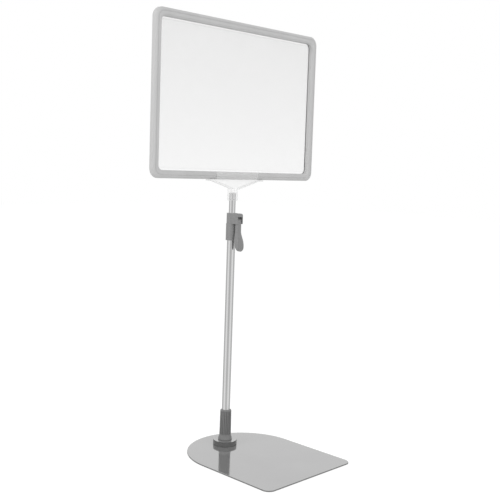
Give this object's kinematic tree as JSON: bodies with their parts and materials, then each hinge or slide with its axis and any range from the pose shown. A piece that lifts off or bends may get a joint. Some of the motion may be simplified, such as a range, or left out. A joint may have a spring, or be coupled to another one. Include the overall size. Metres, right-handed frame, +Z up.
{
  "type": "sign stand",
  "caption": "Table-top sign stand: poster frame with a clear pocket, held in a clear tee on a telescopic pole with a lever clamp, on a flat steel base.",
  "frame": {"origin": "on the pole's axis, at the underside of the flat base", "axes": "+Z up along the pole, -Y towards the reader of the sign (the frame's open front), X along the frame's width"},
  "size_m": [0.318, 0.212, 0.615],
  "materials": {
    "base_plate": "satin",
    "zinc_steel": "plated",
    "grey_plastic": "fine satin",
    "pole_tube": "bright",
    "natural_nylon": "natural",
    "clear_plastic": "clear",
    "frame_grey": "satin",
    "clear_sheet": "clear"
  },
  "bodies": {
    "stand": {"base_plate": "base_plate", "base_stud": "zinc_steel", "base_boss": "grey_plastic", "boss_washer": "zinc_steel", "stud_nut": "zinc_steel", "base_socket": "grey_plastic", "outer_tube": "pole_tube", "clamp_body": "grey_plastic", "clamp_liner": "natural_nylon", "lever_pin": "zinc_steel"},
    "lever": {"clamp_lever": "grey_plastic"},
    "mast": {"inner_tube": "pole_tube", "inner_guide_bush": "natural_nylon", "inner_tube_plug": "natural_nylon"},
    "holder": {"sign_holder": "clear_plastic"},
    "frame": {"poster_frame": "frame_grey"},
    "pocket": {"clear_pocket": "clear_sheet"}
  },
  "joints": [
    {"name": "telescope_slide", "type": "slide", "parent": "stand", "child": "mast", "axis": [0, 0, 1], "range_m": [-0.018, 0.24]},
    {"name": "clamp_lever_hinge", "type": "hinge", "parent": "stand", "child": "lever", "pos_m": [0, -0.0114, 0.3355], "axis": [-1, 0, 0], "range_deg": [0, 90]},
    {"name": "sign_swivel", "type": "hinge", "parent": "mast", "child": "holder", "pos_m": [0, 0, 0.37], "axis": [0, 0, 1], "continuous": true},
    {"name": "frame_slide", "type": "slide", "parent": "holder", "child": "frame", "axis": [1, 0, 0], "range_m": [-0.085, 0.075]},
    {"name": "pocket_slide", "type": "slide", "parent": "frame", "child": "pocket", "axis": [0, 0, 1], "range_m": [0, 0.19]}
  ]
}
